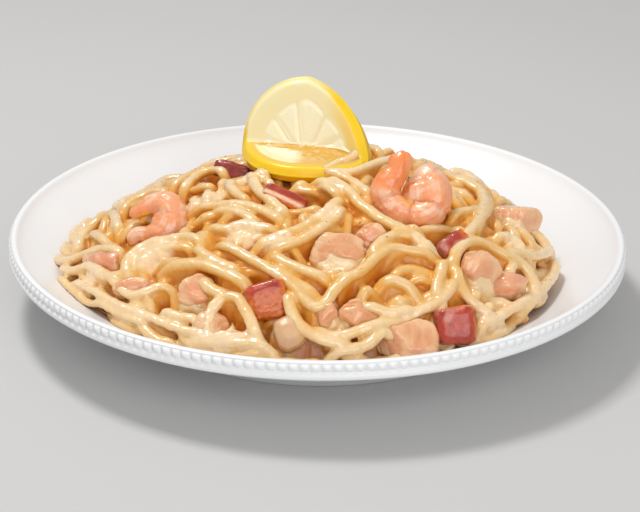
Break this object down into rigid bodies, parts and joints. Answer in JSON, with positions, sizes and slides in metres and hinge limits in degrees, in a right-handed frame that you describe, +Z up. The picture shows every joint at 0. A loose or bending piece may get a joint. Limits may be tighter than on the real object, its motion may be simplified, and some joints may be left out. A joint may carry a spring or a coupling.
{
  "type": "plate of pasta",
  "caption": "Round white plate with a fluted edge, holding a mound of creamy long pasta with shrimps, fish, crab and a folded slice of lemon on top.",
  "frame": {"origin": "middle of the plate's foot ring, on the table", "axes": "+Z up, -Y to the front of the serving, +X to its right"},
  "size_m": [0.27, 0.27, 0.0946],
  "materials": {
    "glaze": "smooth white glaze, high gloss",
    "pasta": null,
    "lemon": null,
    "shrimp": null,
    "fish": null,
    "mushroom": null,
    "crab": null
  },
  "bodies": {
    "root": {"plate": "glaze", "pasta": "pasta", "lemon_slice": "lemon", "shrimp_right": "shrimp", "shrimp_left": "shrimp", "mushroom_front": "mushroom", "fish_middle": "fish", "fish_middle_back": "fish", "fish_front_left": "fish", "fish_low_left": "fish", "fish_front_a": "fish", "fish_front_b": "fish", "fish_front_right": "fish", "fish_right": "fish", "fish_right_low": "fish", "fish_back_right": "fish", "fish_left": "fish", "fish_sliver": "fish", "crab_front": "crab", "crab_right": "crab", "crab_small": "crab", "crab_top": "crab", "crab_back_left": "crab"}
  },
  "joints": []
}
